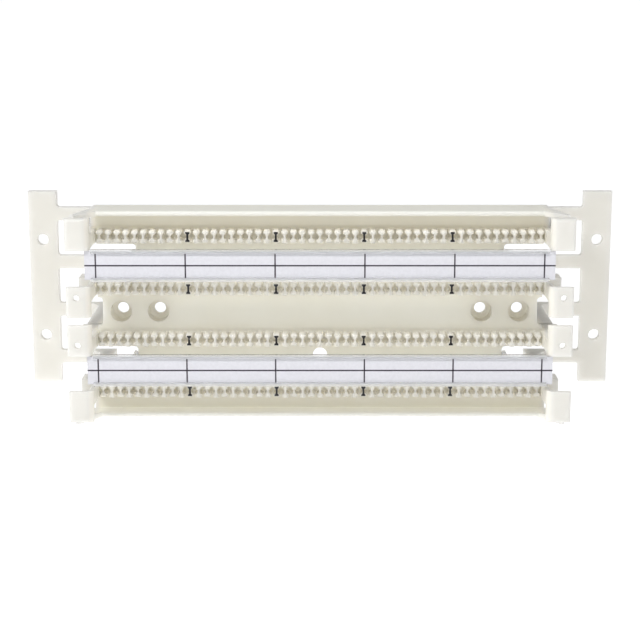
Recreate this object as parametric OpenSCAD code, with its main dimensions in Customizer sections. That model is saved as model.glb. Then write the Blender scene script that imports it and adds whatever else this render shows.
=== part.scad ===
// Punch down wiring block for 100 wire pairs, with stand-off legs and designation strips.
// X runs along the rows, the teeth face -Y, and Z is up. The origin is the centre of the
// wall plane that the legs stand on, midway between the four wall screws.

/* [Rows of teeth] */
// Height from one row of teeth to the next
row_pitch = 22.86; // [22:0.01:25]
// Distance from one wire slot to the next
wire_pitch = 3.81; // [3.6:0.01:4.2]
// Wire pairs in each row
pairs_per_row = 25; // [20:1:30]
// Height of a tooth's front
tooth_h = 5.8; // [5:0.1:6.4]
// Width of a tooth's heads, at their widest
tooth_head_w = 3.1; // [2.6:0.05:3.3]
// Width of a tooth across its top and its bottom
tooth_crown_w = 1.7; // [1.2:0.05:2.4]
// Width of the web between a tooth's heads
tooth_web_w = 0.9; // [0.7:0.05:1.2]
// Height of the slope from a crown out to the head
tooth_crown_h = 0.8; // [0.4:0.05:1]
// Height of a head's straight sides
tooth_head_h = 0.6; // [0.3:0.05:0.8]
// Height of the slope from a head in to the web
tooth_neck_h = 0.8; // [0.5:0.05:1]
// Depth of the wire slots between the teeth
wire_slot_depth = 6.5; // [5:0.1:7.5]
// How far a tooth's front is narrowed at its top and at its bottom
tooth_bevel = 0.7; // [0.3:0.05:1]
// Length of that bevel, back from the front
tooth_bevel_l = 1.2; // [0.6:0.1:2]
// Width of the front of a tooth that splits a pair
splitter_tip_w = 1.1; // [0.9:0.05:1.6]
// Length of a splitting tooth's taper towards its tip
splitter_taper_l = 1.6; // [0.8:0.1:2.5]
// Width of the front of a tooth between pairs
divider_tip_w = 1.9; // [1.6:0.05:2.3]
// Length of that tooth's taper towards its front
divider_taper_l = 0.8; // [0.4:0.1:1.2]
// How far the teeth between pairs stand behind the teeth that split a pair
pair_step = 0.8; // [0.2:0.1:1.5]
// Room between the last tooth's centre and the arms that carry the hooks
row_end_room = 2.35; // [1.6:0.05:4]

/* [Base] */
// Depth of the base from its back edge to the fronts of the hooks
base_depth = 34; // [32:0.1:38]
// Depth from the fronts of the hooks to the fronts of the teeth
tooth_setback = 14.6; // [13.5:0.1:16]
// Depth from the fronts of the teeth to the channel floors
channel_depth = 8.5; // [7.8:0.1:10]
// Thickness of the channel floors
floor_t = 2.4; // [1.6:0.1:3]
// Thickness of the top and bottom walls, and of the arms that carry the hooks
wall_t = 2.2; // [1.6:0.1:3]
// How far the top and bottom walls stand in front of the teeth
wall_lead = 1; // [0.5:0.1:3]
// Radius of the fillet along the root of each row
root_fillet = 1.4; // [0.8:0.1:1.6]
// Width of the groove in the back of each row
row_groove_w = 3.4; // [2.6:0.1:3.6]
// Thickness left between that groove and the wire slots
row_root_t = 2; // [1.2:0.1:3]

/* [Cable windows] */
// Length of the window at each end of a designation strip's channel
window_len = 17.3; // [12:0.1:22]
// Width of the ledge left along each side of a window
window_ledge = 1.4; // [1:0.1:2]
// Radius of a window's inner corners
window_corner_r = 1.5; // [0.8:0.1:3]
// Length of the opening at each end of the middle channel
end_opening_len = 2.2; // [1.6:0.1:4]
// Width of the ledge left along each side of that opening
end_opening_ledge = 2.3; // [1.6:0.1:3]
// Diameter of the hole in the lower channel's floor
centre_hole_d = 6.2; // [5:0.1:7]
// Height of that hole's centre above the middle of its channel
centre_hole_rise = 3.4; // [2:0.1:3.6]

/* [Base screw holes] */
// Distance between the inner pair of screw holes
inner_holes_gap = 142; // [130:0.1:150]
// Distance between the outer pair of screw holes
outer_holes_gap = 174.8; // [172:0.1:180]
// Diameter of the screw holes
base_hole_d = 5; // [4:0.1:5.5]
// Diameter of the counterbores for the screw heads
counterbore_d = 9.3; // [8:0.1:10]
// Outside diameter of the bosses behind the floor
boss_d = 12.6; // [12.2:0.1:14]
// Thickness of the seat under a screw head
screw_seat_t = 2.6; // [1.8:0.1:4]

/* [Hooks] */
// Width of a cable hook, from its arm's inner face to its outer edge
hook_w = 10.5; // [9:0.1:13]
// Thickness of a hook
hook_t = 2.4; // [1.8:0.1:3]
// Outer radius of the bend from a hook into its arm
hook_bend_r = 3.4; // [3.1:0.1:5]
// Height of the arm that carries a hook
hook_arm_h = 6.2; // [5.8:0.1:7]
// How far in from the end of the top or bottom wall the web to a hook starts
hook_web_root = 2; // [1:0.1:4]
// How far out along an outer hook the front of its web ends
hook_web_run = 6.4; // [4:0.1:7.5]
// How far the outer hooks stay inside the top and bottom faces
hook_inset = 1.1; // [0.5:0.1:2]
// Radius along the outer edge of those hooks
hook_edge_r = 1.7; // [0.8:0.1:2.2]
// Gap between the two hooks near the middle
middle_gap = 3.4; // [2:0.1:5]
// Diameter of the small hole in each middle hook
hook_hole_d = 2.6; // [1.5:0.1:3]
// Distance from the hook's outer edge to that hole's centre
hook_hole_inset = 4.41; // [3:0.01:6]
// How far that hole's centre sits below its row's middle
hook_hole_drop = 1.1; // [0:0.1:2]
// How far a row's end lug reaches out past the hook arm's inner face
lug_reach = 8.2; // [5:0.1:9]
// Height of an end lug
lug_h = 7; // [6.2:0.1:8]

/* [Legs] */
// Distance from the wall to the back of the base
leg_depth = 48.6; // [30:0.1:60]
// Width over the outer edges of both legs
legs_span = 273.05; // [262:0.05:290]
// Width of a leg's flange
flange_w = 13.3; // [12:0.1:16]
// Thickness of the flange and of the straps beside it
flange_t = 4; // [3:0.1:6]
// Height of an arm, from its lower face to its upper face
arm_h = 6.2; // [5.8:0.1:8]
// How far the arms' middles sit above the rows' middles
arm_rise = 0.8; // [0:0.1:1.2]
// Width of a post, along the rows
post_w = 7; // [6:0.1:9]
// How far a post's outer face stands outside the hook arm's inner face
post_overhang = 6.4; // [5:0.1:7]
// Thickness of a post's walls
post_wall = 1.6; // [1.2:0.1:2]
// Width of the tongue that plugs a post into the base
tongue_w = 3.8; // [3:0.1:5]
// Height of that tongue
tongue_h = 2.8; // [2:0.1:3.2]
// Length of that tongue
tongue_l = 5; // [3:0.5:8]
// Radius of the bend from a strap into its post
strap_bend_r = 8; // [4:0.5:10]
// Radius of the fillets between the flange and the straps
flange_fillet = 1.2; // [0.8:0.1:3]
// Distance from a flange's outer edge to the centres of its wall screw holes
flange_hole_inset = 6.35; // [5:0.05:7.5]
// Distance between the two wall screw holes in a flange
flange_holes_gap = 45.72; // [40:0.01:60]
// Diameter of the wall screw holes
flange_hole_d = 5.2; // [4.2:0.1:6]

/* [Designation strips] */
// Length of a paper label
label_l = 199.9; // [190:0.1:202]
// Height of a paper label
label_h = 12.2; // [10:0.1:12.6]
// Thickness of a paper label
label_t = 0.3; // [0.2:0.05:0.4]
// How far a label's middle sits above the middle of its channel
label_rise = 1.3; // [0:0.1:1.3]
// Depth from the fronts of the hooks to the front of a label
label_setback = 1.9; // [1.2:0.1:3]
// Wall thickness of a strip's clear holder
holder_t = 0.7; // [0.6:0.1:1.2]
// How far a holder's lips reach over the label
lip_w = 1; // [0.6:0.1:2]
// Height of the clip behind each end of a holder
clip_h = 8; // [5:0.5:9]
// Thickness of a clip
clip_t = 1.2; // [1:0.1:1.8]
// How far a clip's barb reaches behind the floor's edge when it has snapped in
clip_barb = 0.6; // [0.4:0.05:0.8]
// Length of a clip's sloping tip
clip_tip_l = 3; // [2:0.1:4]

/* [Fits] */
// Gap round a clip in its window, and round a tongue in its socket
clip_fit = 0.3; // [0.2:0.05:0.5]
// Gap between a designation strip and the hooks and arms beside it
strip_room = 0.3; // [0.2:0.05:0.6]
// Gap between a label and the holder around it
label_fit = 0.1; // [0.05:0.01:0.2]

/* [Hidden] */
$fn = 48;
ivory = [0.90, 0.88, 0.80];
clear = [0.86, 0.90, 0.94, 0.35];
paper = [0.90, 0.90, 0.93];
eps = 0.01;

// Levels of the rows and of the channels between them
row_levels = [for (n = [-1.5:1:1.5]) n * row_pitch];
block_h = 4 * row_pitch;
arm_levels = [for (z = row_levels) z + arm_rise];
upper_channel_z = row_pitch;
lower_channel_z = -row_pitch;

// Stations along Y, from the wall forward
base_back = -leg_depth;
hook_front = base_back - base_depth;
tooth_front = hook_front + tooth_setback;
floor_front = tooth_front + channel_depth;
floor_back = floor_front + floor_t;
wall_front = tooth_front - wall_lead;
slot_root = tooth_front + wire_slot_depth;

// Stations along X, from the middle out
last_tooth = pairs_per_row;
side_inner = last_tooth * wire_pitch + row_end_room;
side_outer = side_inner + wall_t;
window_inner = side_inner - window_len;
hook_outer = side_inner + hook_w;
flange_outer = legs_span / 2;
flange_inner = flange_outer - flange_w;
post_outer = side_inner + post_overhang;
post_inner = post_outer - post_w;
tongue_x = (post_inner + post_outer) / 2;

// Designation strips
label_front = hook_front + label_setback;
label_back = label_front + label_t;
holder_back = label_back + holder_t;
holder_front = label_front - label_fit - holder_t;
holder_half_h = label_h / 2 + label_fit;
holder_half_l = side_inner - strip_room;

// Levels of the hooks, which leave room for a strip to pass between them
outer_hook_low = upper_channel_z + label_rise + holder_half_h + strip_room;
outer_hook_high = block_h / 2 - hook_inset;
inner_hook_low = middle_gap / 2;
inner_hook_high = upper_channel_z - label_rise - holder_half_h - strip_room;

// Extrudes a profile drawn in X and Z, from Y = front back to Y = back
module along_y(front, back) {
    translate([0, back, 0])
        rotate([90, 0, 0])
            linear_extrude(back - front) children();
}

// Extrudes a profile drawn in Y and Z, from X = low to X = high
module along_x(low, high) {
    translate([low, 0, 0])
        rotate([90, 0, 90])
            linear_extrude(high - low) children();
}

// Extrudes a profile drawn in X and Y, from Z = low to Z = high
module along_z(low, high) {
    translate([0, 0, low])
        linear_extrude(high - low) children();
}

module box(low, high) {
    translate(low) cube(high - low);
}

module both_ends() {
    children();
    mirror([1, 0, 0]) children();
}

module top_and_bottom() {
    children();
    mirror([0, 0, 1]) children();
}

// A right-angled corner filled up to a quarter-round, with its corner at the origin
module corner_fillet(radius) {
    difference() {
        translate([-eps, -eps]) square(radius + eps);
        translate([radius, radius]) circle(radius);
    }
}

// ---- Wiring base ----

// Front outline of one tooth: a web that widens into a faceted head at each end
module tooth_outline() {
    crown = tooth_crown_w / 2;
    head = tooth_head_w / 2;
    web = tooth_web_w / 2;
    top = tooth_h / 2;
    brow = top - tooth_crown_h;
    chin = brow - tooth_head_h;
    neck = chin - tooth_neck_h;
    upper = [
        [-web, neck], [-head, chin], [-head, brow], [-crown, top],
        [crown, top], [head, brow], [head, chin], [web, neck],
    ];
    polygon(concat(upper, [for (n = [len(upper) - 1:-1:0]) [upper[n][0], -upper[n][1]]]));
}

// A tooth seen from above, tapering from the root of the wire slots to its tip
module tooth_plan(front, tip_w, taper_l) {
    head = tooth_head_w / 2;
    tip = tip_w / 2;
    polygon([
        [-tip, front], [tip, front], [head, front + taper_l], [head, slot_root + eps],
        [-head, slot_root + eps], [-head, front + taper_l],
    ]);
}

// A tooth seen from the side, with its front bevelled above and below
module tooth_side(front) {
    top = tooth_h / 2;
    nose = top - tooth_bevel;
    polygon([
        [front, nose], [front + tooth_bevel_l, top], [slot_root + eps, top],
        [slot_root + eps, -top], [front + tooth_bevel_l, -top], [front, -nose],
    ]);
}

// Every second tooth along a row, from the given one on
module tooth_set(first, front, tip_w, taper_l) {
    intersection() {
        along_y(front, slot_root + eps)
            for (n = [first:2:last_tooth])
                translate([n * wire_pitch, 0]) tooth_outline();
        along_z(-tooth_h, tooth_h)
            for (n = [first:2:last_tooth])
                translate([n * wire_pitch, 0]) tooth_plan(front, tip_w, taper_l);
        along_x(-side_inner, side_inner) tooth_side(front);
    }
}

// The teeth that split a pair are pointed and stand proud of the blunt ones between pairs
module row_of_teeth() {
    tooth_set(-last_tooth, tooth_front + pair_step, divider_tip_w, divider_taper_l);
    tooth_set(-last_tooth + 1, tooth_front, splitter_tip_w, splitter_taper_l);
}

// Section of the beam under a row of teeth, with a fillet at each side of its root
module beam_section() {
    half = tooth_h / 2;
    translate([slot_root, -half]) square([base_back - slot_root, tooth_h]);
    for (side = [-1, 1])
        scale([1, side])
            translate([floor_front, half])
                mirror([1, 0]) corner_fillet(min(root_fillet, window_ledge));
}

// Solid end of a row, from half a pitch past the last tooth to the middle of the hook's arm
module row_end() {
    box([(last_tooth + 0.5) * wire_pitch, tooth_front + pair_step, -tooth_h / 2],
        [side_inner + wall_t / 2, slot_root + eps, tooth_h / 2]);
}

module row() {
    row_of_teeth();
    along_x(-side_inner - eps, side_inner + eps) beam_section();
    both_ends() row_end();
}

// Window at the +X end of a channel, open towards the end, with rounded inner corners
module window_outline(opening_l, half_h) {
    difference() {
        translate([side_inner - opening_l, -half_h])
            square([opening_l + 1, 2 * half_h]);
        for (side = [-1, 1])
            scale([1, side])
                translate([side_inner - opening_l, -half_h]) corner_fillet(window_corner_r);
    }
}

// Outline of the floor, cut back at both ends of every channel
module floor_outline() {
    channel_half_h = (row_pitch - tooth_h) / 2;
    difference() {
        square([2 * side_inner, block_h], center = true);
        for (side = [-1, 1])
            scale([side, 1]) {
                for (z = [upper_channel_z, lower_channel_z])
                    translate([0, z])
                        window_outline(window_len, channel_half_h - window_ledge);
                window_outline(end_opening_len, channel_half_h - end_opening_ledge);
            }
    }
}

// Top wall, with a rounded front edge
module top_wall_section() {
    translate([wall_front + wall_t / 2, block_h / 2 - wall_t])
        square([base_back - wall_front - wall_t / 2, wall_t]);
    translate([wall_front + wall_t / 2, (block_h - wall_t) / 2]) circle(wall_t / 2);
}

// Web from the end of the top wall to a hook, seen from above on the +X side
module hook_web_plan() {
    hook_back = hook_front + hook_t - eps;
    polygon([
        [side_inner - hook_web_root, wall_front + wall_t / 2],
        [side_inner + hook_web_run, hook_back],
        [hook_outer - hook_t, hook_back],
        [side_outer, floor_front],
        [side_outer, base_back],
        [side_inner - hook_web_root, base_back],
    ]);
}

// Top wall, with the webs that tie the top hooks to its two ends
module top_wall() {
    along_x(-side_inner, side_inner) top_wall_section();
    both_ends()
        along_z(block_h / 2 - wall_t, block_h / 2) hook_web_plan();
}

// Hook and its bend seen from above, on the +X side
module hook_plan() {
    bend = hook_bend_r;
    inner_r = bend - hook_t;
    translate([side_inner + bend, hook_front + bend])
        intersection() {
            difference() {
                circle(bend);
                circle(inner_r);
            }
            translate([-bend, -bend]) square(bend);
        }
    translate([side_inner + bend - eps, hook_front])
        square([hook_w - bend - hook_t / 2 + eps, hook_t]);
    translate([hook_outer - hook_t / 2, hook_front + hook_t / 2]) circle(hook_t / 2);
}

// A top hook from the side, with its upper front edge rounded over
module outer_hook_section() {
    difference() {
        translate([hook_front, outer_hook_low])
            square([hook_bend_r, outer_hook_high - outer_hook_low]);
        translate([hook_front, outer_hook_high])
            mirror([0, 1]) corner_fillet(min(hook_edge_r, hook_t - 0.2));
    }
}

// Arm that carries a hook, back to the end of its row
module hook_arm(z) {
    box([side_inner, hook_front + hook_bend_r - eps, z - hook_arm_h / 2],
        [side_outer, floor_front + eps, z + hook_arm_h / 2]);
}

// The two hooks of the upper half, on the +X side
module end_hooks() {
    intersection() {
        along_z(outer_hook_low, outer_hook_high) hook_plan();
        along_x(side_inner - 1, hook_outer + 1) outer_hook_section();
    }
    along_z(inner_hook_low, inner_hook_high) hook_plan();
    hook_arm(row_levels[3]);
    hook_arm(row_levels[2]);
}

// Small hole near the outer end of each middle hook
module hook_hole() {
    hole_z = row_levels[2] - hook_hole_drop;
    translate([hook_outer - hook_hole_inset, hook_front - 1, hole_z])
        rotate([-90, 0, 0]) cylinder(h = hook_t + 2, d = hook_hole_d);
}

// Lug that stands out at each end of a row, with a socket for a leg's tongue
module end_lug(z) {
    box([side_inner - eps, floor_front, z - lug_h / 2],
        [side_inner + lug_reach, base_back, z + lug_h / 2]);
}

// End of the base beside the top channel, from the top row's lug up to the top wall
module corner_end() {
    box([side_inner - eps, floor_front, row_levels[3]],
        [side_outer, base_back, block_h / 2 - wall_t / 2]);
}

module lug_socket(z) {
    box([tongue_x - tongue_w / 2 - clip_fit, base_back - tongue_l - clip_fit,
         z - tongue_h / 2 - clip_fit],
        [tongue_x + tongue_w / 2 + clip_fit, base_back + 1, z + tongue_h / 2 + clip_fit]);
}

module screw_boss(x) {
    translate([x, floor_front + eps, 0])
        rotate([-90, 0, 0]) cylinder(h = base_back - floor_front - eps, d = boss_d);
}

module screw_bore(x) {
    translate([x, floor_front - 1, 0])
        rotate([-90, 0, 0])
            cylinder(h = base_back - floor_front + 1 - screw_seat_t, d = counterbore_d);
    translate([x, base_back - screw_seat_t - 1, 0])
        rotate([-90, 0, 0]) cylinder(h = screw_seat_t + 2, d = base_hole_d);
}

// Groove in the back of a row, which stops short of its end lugs
module row_groove(z) {
    groove_end = side_inner - row_root_t;
    box([-groove_end, slot_root + row_root_t, z - row_groove_w / 2],
        [groove_end, base_back + 1, z + row_groove_w / 2]);
}

module wiring_base() {
    screw_xs = [
        -outer_holes_gap / 2, -inner_holes_gap / 2, inner_holes_gap / 2, outer_holes_gap / 2,
    ];
    color(ivory)
        difference() {
            union() {
                along_y(floor_front, floor_back) floor_outline();
                top_and_bottom() top_wall();
                for (z = row_levels)
                    translate([0, 0, z]) row();
                both_ends() {
                    for (z = row_levels) end_lug(z);
                    top_and_bottom() {
                        corner_end();
                        end_hooks();
                    }
                }
                for (x = screw_xs) screw_boss(x);
            }
            for (z = row_levels) row_groove(z);
            for (x = screw_xs) screw_bore(x);
            both_ends() {
                for (z = row_levels) lug_socket(z);
                top_and_bottom() hook_hole();
            }
            translate([0, floor_front - 1, lower_channel_z + centre_hole_rise])
                rotate([-90, 0, 0]) cylinder(h = floor_t + 2, d = centre_hole_d);
        }
}

// ---- Legs ----

// Flange and straps seen from the front, on the +X side
module leg_outline() {
    half_h = block_h / 2;
    difference() {
        union() {
            translate([flange_inner, -half_h]) square([flange_w, block_h]);
            for (z = arm_levels) {
                translate([post_outer - eps, z - arm_h / 2])
                    square([flange_inner - post_outer + 2 * eps, arm_h]);
                for (side = [-1, 1])
                    translate([flange_inner, z])
                        scale([-1, side])
                            translate([0, arm_h / 2]) corner_fillet(flange_fillet);
            }
        }
        for (z = [-flange_holes_gap / 2, flange_holes_gap / 2])
            translate([flange_outer - flange_hole_inset, z]) circle(d = flange_hole_d);
    }
}

// One hollow post, open towards the wall, with its bend from the strap
module leg_post() {
    box([post_inner, base_back, -arm_h / 2], [post_outer, 0, arm_h / 2]);
    along_z(-arm_h / 2, arm_h / 2)
        translate([post_outer, -flange_t])
            mirror([0, 1]) corner_fillet(strap_bend_r);
}

module post_pocket() {
    box([post_inner + post_wall, base_back + post_wall, post_wall - arm_h / 2],
        [post_outer - post_wall, 1, arm_h / 2 - post_wall]);
}

// Tongue that plugs into the socket in an end lug
module leg_tongue() {
    box([tongue_x - tongue_w / 2, base_back - tongue_l, -tongue_h / 2],
        [tongue_x + tongue_w / 2, base_back + eps, tongue_h / 2]);
}

module leg() {
    color(ivory)
        difference() {
            union() {
                along_y(-flange_t, 0) leg_outline();
                for (z = arm_levels)
                    translate([0, 0, z]) leg_post();
                for (z = row_levels)
                    translate([0, 0, z]) leg_tongue();
            }
            for (z = arm_levels)
                translate([0, 0, z]) post_pocket();
        }
}

// ---- Designation strips ----

// Section of a holder's two edges in Y and Z, with a lip over each edge of the label
module holder_edges() {
    for (side = [-1, 1])
        scale([1, side]) {
            translate([holder_front, holder_half_h - eps])
                square([holder_back - holder_front, holder_t]);
            translate([holder_front, holder_half_h - lip_w])
                square([holder_t, lip_w]);
        }
}

// Clip behind the +X end of a holder, whose barb hooks behind the window's inner edge
module holder_clip() {
    inner = window_inner + clip_fit + clip_barb;
    tip = floor_back + clip_fit;
    box([inner, holder_back - eps, -clip_h / 2],
        [inner + clip_t, tip + clip_tip_l, clip_h / 2]);
    along_z(-clip_h / 2, clip_h / 2)
        polygon([[inner + eps, tip], [inner - clip_barb, tip], [inner + eps, tip + clip_tip_l]]);
}

module strip_holder(channel_z) {
    color(clear)
        translate([0, 0, channel_z]) {
            translate([0, 0, label_rise]) {
                box([-label_l / 2, label_back, -holder_half_h],
                    [label_l / 2, holder_back, holder_half_h]);
                along_x(-holder_half_l, holder_half_l) holder_edges();
            }
            both_ends() holder_clip();
        }
}

module strip_label(channel_z) {
    color(paper)
        translate([0, (label_front + label_back) / 2, channel_z + label_rise])
            cube([label_l, label_t, label_h], center = true);
}

module left_leg() {
    mirror([1, 0, 0]) leg();
}

module right_leg() {
    leg();
}

module upper_strip_holder() {
    strip_holder(upper_channel_z);
}

module lower_strip_holder() {
    strip_holder(lower_channel_z);
}

module upper_label() {
    strip_label(upper_channel_z);
}

module lower_label() {
    strip_label(lower_channel_z);
}

wiring_base();
left_leg();
right_leg();
upper_strip_holder();
lower_strip_holder();
upper_label();
lower_label();
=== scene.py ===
"""Dresses the punch down wiring block: plastics, cards, printed marks, floor, lights and camera."""

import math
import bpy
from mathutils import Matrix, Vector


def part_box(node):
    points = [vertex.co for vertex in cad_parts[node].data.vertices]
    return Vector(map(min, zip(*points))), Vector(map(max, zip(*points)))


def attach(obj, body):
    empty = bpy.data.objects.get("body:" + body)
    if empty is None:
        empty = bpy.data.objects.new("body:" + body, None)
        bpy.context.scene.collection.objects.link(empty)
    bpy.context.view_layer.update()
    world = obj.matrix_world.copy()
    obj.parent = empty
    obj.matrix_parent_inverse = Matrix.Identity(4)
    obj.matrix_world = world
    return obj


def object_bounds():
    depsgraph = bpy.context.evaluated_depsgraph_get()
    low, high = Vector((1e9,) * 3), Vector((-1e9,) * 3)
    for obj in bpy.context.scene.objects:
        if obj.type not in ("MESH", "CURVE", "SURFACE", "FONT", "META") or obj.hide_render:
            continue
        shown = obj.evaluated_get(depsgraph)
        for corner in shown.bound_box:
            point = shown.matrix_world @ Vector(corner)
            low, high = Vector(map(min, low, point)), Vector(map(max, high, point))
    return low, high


bl_info = {
    "name": "Wiring Block Finishes",
    "version": (1, 0, 0),
    "blender": (4, 5, 0),
    "location": "View3D > Sidebar > Wiring Block",
    "description": "Plastic, card and ink finishes for a punch down wiring block, with its studio",
    "category": "Object",
}

import bmesh
import bpy
from bpy.props import FloatProperty, FloatVectorProperty, IntProperty, PointerProperty
from bpy.types import Operator, Panel, PropertyGroup
from mathutils import Vector

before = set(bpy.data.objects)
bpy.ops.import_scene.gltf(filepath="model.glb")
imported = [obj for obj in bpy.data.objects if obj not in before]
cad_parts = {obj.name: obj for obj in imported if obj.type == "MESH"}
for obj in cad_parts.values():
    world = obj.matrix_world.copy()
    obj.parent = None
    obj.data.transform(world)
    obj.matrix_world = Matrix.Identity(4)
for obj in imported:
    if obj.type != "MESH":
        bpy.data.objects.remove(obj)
CAD_BOUNDS = [list(corner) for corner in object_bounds()]

MM = 0.001
BASE_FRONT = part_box("wiring_base")[0][1]
BLOCK_FOOT = CAD_BOUNDS[0][2]

ROWS = 4
MARKS_PER_ROW = 4

# Painted shade greys the hooks and legs; it starts and is full at these distances from the middle
END_SHADE_START = 97.0 * MM
END_SHADE_FULL = 100.0 * MM

# Lights, with the point that both face
LIGHT_TARGET = (0.0, -0.04, 0.0)
LIGHT_SIZE = (0.6, 0.4)
TOP_LIGHT_PLACE = (-0.09, -0.90, 1.23)
SIDE_LIGHT_PLACE = (-0.94, -0.83, 0.86)

# The floor reaches this far each way; the dimmer oval on it has these half lengths and this centre
FLOOR_REACH = 20.0
OVAL_HALF_WIDTH = 2.0
OVAL_HALF_DEPTH = 1.3
OVAL_CENTRE_Y = -1.25
OVAL_SOFTNESS = 0.35

SENSOR_WIDTH = 36.0
WHITE = (1.0, 1.0, 1.0)


# ---------------------------------------------------------------------------
# Settings
# ---------------------------------------------------------------------------


class BlockFinishSettings(PropertyGroup):
    """Colours of the moulded plastic, the clear strips, the cards and the ink."""

    ivory: FloatVectorProperty(
        name="Ivory",
        description="Colour of the moulded base and legs",
        subtype="COLOR",
        default=(0.975, 0.915, 0.785),
        min=0.0,
        max=1.0,
    )
    # Painted shade: the hooks and legs keep this share of each primary colour, which greys them as if
    # in shade
    end_shade: FloatVectorProperty(
        name="End tone",
        description="Share of each primary colour that the hooks and legs keep",
        subtype="COLOR",
        default=(0.75, 0.785, 0.86),
        min=0.0,
        max=1.0,
    )
    clear: FloatVectorProperty(
        name="Clear plastic",
        description="Tint of the strip holders",
        subtype="COLOR",
        default=(0.96, 0.97, 0.98),
        min=0.0,
        max=1.0,
    )
    card: FloatVectorProperty(
        name="Card",
        description="Colour of the paper labels",
        subtype="COLOR",
        default=(0.71, 0.71, 0.755),
        min=0.0,
        max=1.0,
    )
    ink: FloatVectorProperty(
        name="Ink",
        description="Colour of the tooth marks",
        subtype="COLOR",
        default=(0.015, 0.014, 0.014),
        min=0.0,
        max=1.0,
    )
    rule_ink: FloatVectorProperty(
        name="Rule ink",
        description="Colour of the lines on the labels",
        subtype="COLOR",
        default=(0.045, 0.035, 0.05),
        min=0.0,
        max=1.0,
    )


class BlockPrintSettings(PropertyGroup):
    """Sizes of the printed marks and rules, and the pitches they follow."""

    wire_pitch: FloatProperty(
        name="Wire pitch",
        description="Distance from one tooth to the next",
        subtype="DISTANCE",
        unit="LENGTH",
        default=3.81 * MM,
    )
    row_pitch: FloatProperty(
        name="Row pitch",
        description="Height from one row of teeth to the next",
        subtype="DISTANCE",
        unit="LENGTH",
        default=22.86 * MM,
    )
    tooth_setback: FloatProperty(
        name="Tooth setback",
        description="Depth from the fronts of the hooks to the fronts of the teeth that split a pair",
        subtype="DISTANCE",
        unit="LENGTH",
        default=14.6 * MM,
    )
    pair_step: FloatProperty(
        name="Pair step",
        description="How far the teeth between pairs stand behind the others",
        subtype="DISTANCE",
        unit="LENGTH",
        default=0.8 * MM,
    )
    teeth_per_mark: IntProperty(
        name="Teeth between marks",
        description="Number of teeth from one printed mark to the next",
        default=10,
        min=2,
        max=20,
    )
    mark_height: FloatProperty(
        name="Mark height",
        description="Height of a printed tooth mark",
        subtype="DISTANCE",
        unit="LENGTH",
        default=4.3 * MM,
    )
    mark_width: FloatProperty(
        name="Mark width",
        description="Width of a tooth mark across its ends",
        subtype="DISTANCE",
        unit="LENGTH",
        default=1.8 * MM,
    )
    mark_stem: FloatProperty(
        name="Mark stem",
        description="Width of a tooth mark at its middle",
        subtype="DISTANCE",
        unit="LENGTH",
        default=0.86 * MM,
    )
    mark_end: FloatProperty(
        name="Mark end",
        description="Height of the bar at each end of a tooth mark",
        subtype="DISTANCE",
        unit="LENGTH",
        default=0.6 * MM,
    )
    mark_taper: FloatProperty(
        name="Mark taper",
        description="Height over which that bar narrows to the stem",
        subtype="DISTANCE",
        unit="LENGTH",
        default=0.5 * MM,
    )
    rule_pitch: FloatProperty(
        name="Rule pitch",
        description="Distance between the upright lines on a label",
        subtype="DISTANCE",
        unit="LENGTH",
        default=38.1 * MM,
    )
    rule_width: FloatProperty(
        name="Rule width",
        description="Width of a line on a label",
        subtype="DISTANCE",
        unit="LENGTH",
        default=0.62 * MM,
    )
    ink_thickness: FloatProperty(
        name="Ink thickness",
        description="Thickness of the printed film",
        subtype="DISTANCE",
        unit="LENGTH",
        default=0.04 * MM,
    )


class BlockStudioSettings(PropertyGroup):
    """Camera, floor and lights."""

    camera_distance: FloatProperty(
        name="Camera distance",
        description="Distance in front of the wall plane",
        subtype="DISTANCE",
        unit="LENGTH",
        default=0.7703,
    )
    camera_height: FloatProperty(
        name="Camera height",
        description="Height above the middle of the block",
        subtype="DISTANCE",
        unit="LENGTH",
        default=0.1472,
    )
    camera_tilt: FloatProperty(
        name="Camera tilt",
        description="Angle that the camera looks down",
        subtype="ANGLE",
        unit="ROTATION",
        default=math.radians(12.0),
    )
    lens: FloatProperty(
        name="Lens",
        description="Focal length on a 36 mm sensor, in millimetres",
        default=92.87,
        min=20.0,
        max=200.0,
    )
    top_power: FloatProperty(
        name="Top light",
        description="Power of the soft light high in front of the block",
        unit="POWER",
        default=10.0,
        min=0.0,
    )
    side_power: FloatProperty(
        name="Side light",
        description="Power of the soft light at the left of the block",
        unit="POWER",
        default=6.4,
        min=0.0,
    )
    floor_drop: FloatProperty(
        name="Floor drop",
        description="Height of the block's lower edge above the floor",
        subtype="DISTANCE",
        unit="LENGTH",
        default=0.16,
        min=0.0,
    )
    floor_shine: FloatProperty(
        name="Floor shine",
        description="Strength of the light that the floor gives off round the block",
        default=0.8,
        min=0.0,
    )
    floor_dim: FloatProperty(
        name="Floor dimming",
        description="Strength of that light in front of the block",
        default=0.35,
        min=0.0,
    )
    sky_zenith: FloatProperty(
        name="Sky overhead",
        description="Strength of the white surroundings straight above",
        default=0.0,
        min=0.0,
    )
    sky_horizon: FloatProperty(
        name="Sky at the horizon",
        description="Strength of the white surroundings at the level of the block",
        default=0.8,
        min=0.0,
    )
    sky_left: FloatProperty(
        name="Sky on the left",
        description="Share of that strength at the left of the camera",
        default=1.05,
        min=0.0,
    )
    sky_right: FloatProperty(
        name="Sky on the right",
        description="Share of that strength at the right of the camera",
        default=0.85,
        min=0.0,
    )


# ---------------------------------------------------------------------------
# Materials
# ---------------------------------------------------------------------------


def new_material(name):
    """A cleared node material with its shader and output."""
    material = bpy.data.materials.new(name)
    material.use_nodes = True
    nodes = material.node_tree.nodes
    nodes.clear()
    output = nodes.new("ShaderNodeOutputMaterial")
    shader = nodes.new("ShaderNodeBsdfPrincipled")
    material.node_tree.links.new(shader.outputs["BSDF"], output.inputs["Surface"])
    return material, shader


def set_inputs(node, values):
    """Sets a node's sockets, given by their names."""
    for name, value in values.items():
        node.inputs[name].default_value = value


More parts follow.
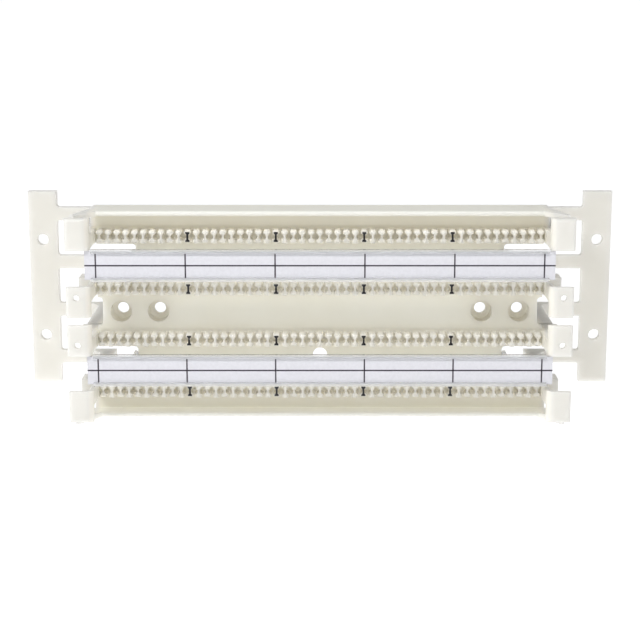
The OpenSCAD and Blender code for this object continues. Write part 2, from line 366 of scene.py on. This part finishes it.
def add_node(material, kind, inputs=None, **settings):
    """A new node with its socket values and its settings."""
    node = material.node_tree.nodes.new(kind)
    for name, value in settings.items():
        setattr(node, name, value)
    set_inputs(node, inputs or {})
    return node


def link(material, start, end):
    material.node_tree.links.new(start, end)


def noise(material, scale, detail=2.0):
    """Noise in the object's own coordinates."""
    place = add_node(material, "ShaderNodeTexCoord")
    texture = add_node(material, "ShaderNodeTexNoise", {"Scale": scale, "Detail": detail})
    link(material, place.outputs["Object"], texture.inputs["Vector"])
    return texture.outputs["Fac"]


def vary_colour(material, shader, fac, dark, light):
    """Blends the base colour between two shades of one hue."""
    ramp = add_node(material, "ShaderNodeValToRGB")
    ramp.color_ramp.elements[0].position = 0.35
    ramp.color_ramp.elements[0].color = (*dark, 1.0)
    ramp.color_ramp.elements[1].position = 0.65
    ramp.color_ramp.elements[1].color = (*light, 1.0)
    link(material, fac, ramp.inputs["Fac"])
    link(material, ramp.outputs["Color"], shader.inputs["Base Color"])


def paint_end_shade(material, shader, start, full, shade_colour):
    """Paints shade: multiplies the base colour by a greyer, bluer colour, from none at one distance
    along X to full at another.
    """
    place = add_node(material, "ShaderNodeTexCoord")
    axes = add_node(material, "ShaderNodeSeparateXYZ")
    reach = add_node(material, "ShaderNodeMath", operation="ABSOLUTE")
    share = add_node(material, "ShaderNodeMapRange", {"From Min": start, "From Max": full})
    blend = add_node(material, "ShaderNodeValToRGB")
    blend.color_ramp.elements[0].color = (*WHITE, 1.0)
    blend.color_ramp.elements[1].color = (*shade_colour, 1.0)
    product = add_node(material, "ShaderNodeVectorMath", operation="MULTIPLY")
    colour = shader.inputs["Base Color"].links[0].from_socket
    link(material, place.outputs["Object"], axes.inputs["Vector"])
    link(material, axes.outputs["X"], reach.inputs[0])
    link(material, reach.outputs["Value"], share.inputs["Value"])
    link(material, share.outputs["Result"], blend.inputs["Fac"])
    link(material, colour, product.inputs[0])
    link(material, blend.outputs["Color"], product.inputs[1])
    link(material, product.outputs["Vector"], shader.inputs["Base Color"])


def add_bump(material, shader, fac, strength, depth, normal=None):
    bump = add_node(material, "ShaderNodeBump", {"Strength": strength, "Distance": depth})
    if normal:
        link(material, normal, bump.inputs["Normal"])
    link(material, fac, bump.inputs["Height"])
    link(material, bump.outputs["Normal"], shader.inputs["Normal"])


def soften_edges(material, radius):
    """Rounds the look of sharp edges; gives the normal that a bump can build on."""
    bevel = add_node(material, "ShaderNodeBevel", {"Radius": radius}, samples=6)
    return bevel.outputs["Normal"]


def shade(colour, factor):
    return tuple(min(1.0, channel * factor) for channel in colour)


def ivory_plastic(settings):
    """Slightly translucent moulding with a fine grain, with painted shade that makes it greyer at the
    hooks and legs.
    """
    material, shader = new_material("ivory_plastic")
    vary_colour(
        material, shader, noise(material, 45.0, 3.0),
        shade(settings.ivory, 0.985), shade(settings.ivory, 1.015),
    )
    # Painted shade: greyer, bluer hooks and legs
    paint_end_shade(material, shader, END_SHADE_START, END_SHADE_FULL, settings.end_shade)
    add_bump(
        material, shader, noise(material, 2600.0, 4.0), 0.25, 0.02 * MM,
        soften_edges(material, 0.3 * MM),
    )
    set_inputs(shader, {
        "Roughness": 0.42,
        "IOR": 1.55,
        "Subsurface Weight": 1.0,
        "Subsurface Radius": (1.0, 1.0, 1.0),
        "Subsurface Scale": 6.0 * MM,
    })
    return material


def clear_plastic(settings):
    """Clear extrusion, faintly uneven in gloss."""
    material, shader = new_material("clear_plastic")
    set_inputs(shader, {"Base Color": (*settings.clear, 1.0), "Transmission Weight": 0.72, "IOR": 1.46})
    rough = add_node(material, "ShaderNodeMapRange", {"To Min": 0.04, "To Max": 0.12})
    link(material, noise(material, 120.0, 3.0), rough.inputs["Value"])
    link(material, rough.outputs["Result"], shader.inputs["Roughness"])
    add_bump(material, shader, noise(material, 300.0), 0.1, 0.02 * MM)
    return material


def card_paper(settings):
    """Pale card with fine fibres."""
    material, shader = new_material("card_paper")
    vary_colour(
        material, shader, noise(material, 900.0, 5.0),
        shade(settings.card, 0.97), shade(settings.card, 1.02),
    )
    add_bump(material, shader, noise(material, 4000.0, 5.0), 0.4, 0.02 * MM)
    set_inputs(shader, {"Roughness": 0.75, "Sheen Weight": 0.1})
    return material


def printed_ink(name, colour):
    """Dark ink, a little uneven."""
    material, shader = new_material(name)
    vary_colour(
        material, shader, noise(material, 1500.0, 4.0),
        shade(colour, 0.7), shade(colour, 1.4),
    )
    set_inputs(shader, {"Roughness": 0.5})
    return material


# ---------------------------------------------------------------------------
# Mesh helpers
# ---------------------------------------------------------------------------


def finish_node(name, material):
    """Gives a carried-over solid its finish."""
    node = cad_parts[name]
    node.data.materials.clear()
    node.data.materials.append(material)


def new_piece(name, mesh, material, body):
    """Adds a mesh object that rides on a body and takes its finish from a slot."""
    data = bpy.data.meshes.new(name)
    mesh.to_mesh(data)
    mesh.free()
    piece = bpy.data.objects.new(name, data)
    bpy.context.scene.collection.objects.link(piece)
    data.materials.append(material)
    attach(piece, body)
    return piece


def add_prism(mesh, outline, front, thickness):
    """A prism with its outline in X and Z, and its front face at Y = front."""
    faces = []
    for y in (front, front + thickness):
        faces.append([mesh.verts.new((x, y, z)) for x, z in outline])
    near, far = faces
    count = len(outline)
    mesh.faces.new(near)
    mesh.faces.new(list(reversed(far)))
    for n in range(count):
        mesh.faces.new([near[n], far[n], far[(n + 1) % count], near[(n + 1) % count]])


def rectangle(x, z, width, height):
    half_w, half_h = width / 2, height / 2
    return [
        (x - half_w, z - half_h), (x + half_w, z - half_h),
        (x + half_w, z + half_h), (x - half_w, z + half_h),
    ]


# ---------------------------------------------------------------------------
# Operators
# ---------------------------------------------------------------------------


class BLOCK_OT_mouldings(Operator):
    """Gives the base and legs their ivory plastic"""

    bl_idname = "wiring_block.mouldings"
    bl_label = "Ivory Mouldings"

    def execute(self, context):
        plastic = ivory_plastic(context.scene.block_finish)
        for name in ("wiring_base", "left_leg", "right_leg"):
            finish_node(name, plastic)
        return {"FINISHED"}


class BLOCK_OT_strips(Operator):
    """Gives the strip holders and their labels clear plastic and card"""

    bl_idname = "wiring_block.strips"
    bl_label = "Designation Strips"

    def execute(self, context):
        settings = context.scene.block_finish
        plastic = clear_plastic(settings)
        card = card_paper(settings)
        for level in ("upper", "lower"):
            finish_node(f"{level}_strip_holder", plastic)
            finish_node(f"{level}_label", card)
        return {"FINISHED"}


class BLOCK_OT_label_rules(Operator):
    """Prints the lines on both labels"""

    bl_idname = "wiring_block.label_rules"
    bl_label = "Label Rules"

    def execute(self, context):
        sizes = context.scene.block_print
        ink = printed_ink("rule_ink", context.scene.block_finish.rule_ink)
        for level in ("upper", "lower"):
            low, high = (Vector(corner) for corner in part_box(f"{level}_label"))
            front = low.y - sizes.ink_thickness
            middle_z = (low.z + high.z) / 2
            mesh = bmesh.new()
            add_prism(
                mesh, rectangle(0.0, middle_z, high.x - low.x, sizes.rule_width),
                front, sizes.ink_thickness,
            )
            rules = int((high.x - low.x) / sizes.rule_pitch) + 1
            for n in range(rules):
                x = (n - (rules - 1) / 2) * sizes.rule_pitch
                add_prism(
                    mesh, rectangle(x, middle_z, sizes.rule_width, high.z - low.z),
                    front, sizes.ink_thickness,
                )
            new_piece(f"{level}_label_rules", mesh, ink, f"{level}_strip")
        return {"FINISHED"}


class BLOCK_OT_tooth_marks(Operator):
    """Prints the dark marks on every tenth tooth of each row"""

    bl_idname = "wiring_block.tooth_marks"
    bl_label = "Tooth Marks"

    def execute(self, context):
        sizes = context.scene.block_print
        ink = printed_ink("mark_ink", context.scene.block_finish.ink)
        front = BASE_FRONT + sizes.tooth_setback + sizes.pair_step - sizes.ink_thickness
        head, stem = sizes.mark_width / 2, sizes.mark_stem / 2
        half = sizes.mark_height / 2
        brow = half - sizes.mark_end
        neck = brow - sizes.mark_taper
        mesh = bmesh.new()
        for row in range(ROWS):
            z = (row - (ROWS - 1) / 2) * sizes.row_pitch
            for n in range(MARKS_PER_ROW):
                x = (n - (MARKS_PER_ROW - 1) / 2) * sizes.teeth_per_mark * sizes.wire_pitch
                outline = [
                    (-head, -half), (head, -half), (head, -brow), (stem, -neck),
                    (stem, neck), (head, brow), (head, half), (-head, half),
                    (-head, brow), (-stem, neck), (-stem, -neck), (-head, -brow),
                ]
                add_prism(
                    mesh, [(x + px, z + pz) for px, pz in outline],
                    front, sizes.ink_thickness,
                )
        new_piece("tooth_marks", mesh, ink, "block")
        return {"FINISHED"}


def area_light(name, place, power):
    """A soft white light that faces the block."""
    data = bpy.data.lights.new(name, "AREA")
    data.shape = "RECTANGLE"
    data.size, data.size_y = LIGHT_SIZE
    data.energy = power
    lamp = bpy.data.objects.new(name, data)
    lamp.location = place
    way = Vector(LIGHT_TARGET) - Vector(place)
    lamp.rotation_euler = way.to_track_quat("-Z", "Y").to_euler()
    bpy.context.scene.collection.objects.link(lamp)


class BLOCK_OT_stage(Operator):
    """Sets the floor, the lights and the camera"""

    bl_idname = "wiring_block.stage"
    bl_label = "Studio"

    def execute(self, context):
        settings = context.scene.block_studio
        self.make_floor(settings)
        self.make_sky(context.scene, settings)
        area_light("top_light", TOP_LIGHT_PLACE, settings.top_power)
        area_light("side_light", SIDE_LIGHT_PLACE, settings.side_power)
        self.make_camera(context.scene, settings)
        return {"FINISHED"}

    def make_floor(self, settings):
        """A plain floor below the block."""
        mesh = bmesh.new()
        bmesh.ops.create_grid(mesh, x_segments=1, y_segments=1, size=FLOOR_REACH)
        data = bpy.data.meshes.new("studio_floor")
        mesh.to_mesh(data)
        mesh.free()
        floor = bpy.data.objects.new("studio_floor", data)
        floor.location.z = BLOCK_FOOT - settings.floor_drop
        bpy.context.scene.collection.objects.link(floor)
        data.materials.append(self.floor_paint(settings))

    def floor_paint(self, settings):
        """Pale paint that shines softly, and less in an oval in front of the block."""
        material, shader = new_material("pale_floor")
        set_inputs(shader, {
            "Base Color": (0.8, 0.8, 0.8, 1.0),
            "Roughness": 0.9,
            "Specular IOR Level": 0.1,
            "Emission Color": (*WHITE, 1.0),
        })
        place = add_node(material, "ShaderNodeTexCoord")
        oval = add_node(material, "ShaderNodeMapping", {
            "Location": (0.0, -OVAL_CENTRE_Y / OVAL_HALF_DEPTH, 0.0),
            "Scale": (1.0 / OVAL_HALF_WIDTH, 1.0 / OVAL_HALF_DEPTH, 0.0),
        })
        falloff = add_node(material, "ShaderNodeTexGradient", gradient_type="SPHERICAL")
        shine = add_node(material, "ShaderNodeMapRange", {
            "From Max": OVAL_SOFTNESS,
            "To Min": settings.floor_shine,
            "To Max": settings.floor_dim,
        })
        link(material, place.outputs["Object"], oval.inputs["Vector"])
        link(material, oval.outputs["Vector"], falloff.inputs["Vector"])
        link(material, falloff.outputs["Fac"], shine.inputs["Value"])
        link(material, shine.outputs["Result"], shader.inputs["Emission Strength"])
        return material

    def make_sky(self, scene, settings):
        """White surroundings, brightest at the horizon and towards the left."""
        world = bpy.data.worlds.new("studio_sky")
        world.use_nodes = True
        tree = world.node_tree
        background = tree.nodes["Background"]
        background.inputs["Color"].default_value = (*WHITE, 1.0)
        place = tree.nodes.new("ShaderNodeTexCoord")
        axes = tree.nodes.new("ShaderNodeSeparateXYZ")
        product = tree.nodes.new("ShaderNodeMath")
        product.operation = "MULTIPLY"
        tree.links.new(place.outputs["Generated"], axes.inputs["Vector"])
        blends = (
            ("X", -1.0, settings.sky_left, settings.sky_right),
            ("Z", 0.0, settings.sky_horizon, settings.sky_zenith),
        )
        for n, (axis, start, low, high) in enumerate(blends):
            ramp = tree.nodes.new("ShaderNodeMapRange")
            set_inputs(ramp, {"From Min": start, "From Max": 1.0, "To Min": low, "To Max": high})
            tree.links.new(axes.outputs[axis], ramp.inputs["Value"])
            tree.links.new(ramp.outputs["Result"], product.inputs[n])
        tree.links.new(product.outputs["Value"], background.inputs["Strength"])
        scene.world = world
        scene.view_settings.view_transform = "Standard"

    def make_camera(self, scene, settings):
        """The camera in front of the block, looking a little down."""
        data = bpy.data.cameras.new("camera")
        data.sensor_width = SENSOR_WIDTH
        data.lens = settings.lens
        camera = bpy.data.objects.new("camera", data)
        camera.location = (0.0, -settings.camera_distance, settings.camera_height)
        camera.rotation_euler = (math.radians(90.0) - settings.camera_tilt, 0.0, 0.0)
        scene.collection.objects.link(camera)
        scene.camera = camera


class BLOCK_PT_panel(Panel):
    """Lists the steps that dress the block"""

    bl_label = "Wiring Block"
    bl_idname = "BLOCK_PT_panel"
    bl_space_type = "VIEW_3D"
    bl_region_type = "UI"
    bl_category = "Wiring Block"

    def draw(self, context):
        for operator in OPERATORS:
            self.layout.operator(operator.bl_idname)


SETTINGS = {
    "block_finish": BlockFinishSettings,
    "block_print": BlockPrintSettings,
    "block_studio": BlockStudioSettings,
}
OPERATORS = (
    BLOCK_OT_mouldings,
    BLOCK_OT_strips,
    BLOCK_OT_label_rules,
    BLOCK_OT_tooth_marks,
    BLOCK_OT_stage,
)


def register():
    for cls in (*SETTINGS.values(), *OPERATORS, BLOCK_PT_panel):
        bpy.utils.register_class(cls)
    for name, cls in SETTINGS.items():
        setattr(bpy.types.Scene, name, PointerProperty(type=cls))


def unregister():
    for name in SETTINGS:
        delattr(bpy.types.Scene, name)
    for cls in reversed((*SETTINGS.values(), *OPERATORS, BLOCK_PT_panel)):
        bpy.utils.unregister_class(cls)


def main():
    register()
    for operator in OPERATORS:
        group, name = operator.bl_idname.split(".")
        getattr(getattr(bpy.ops, group), name)()


if __name__ == "__main__":
    main()
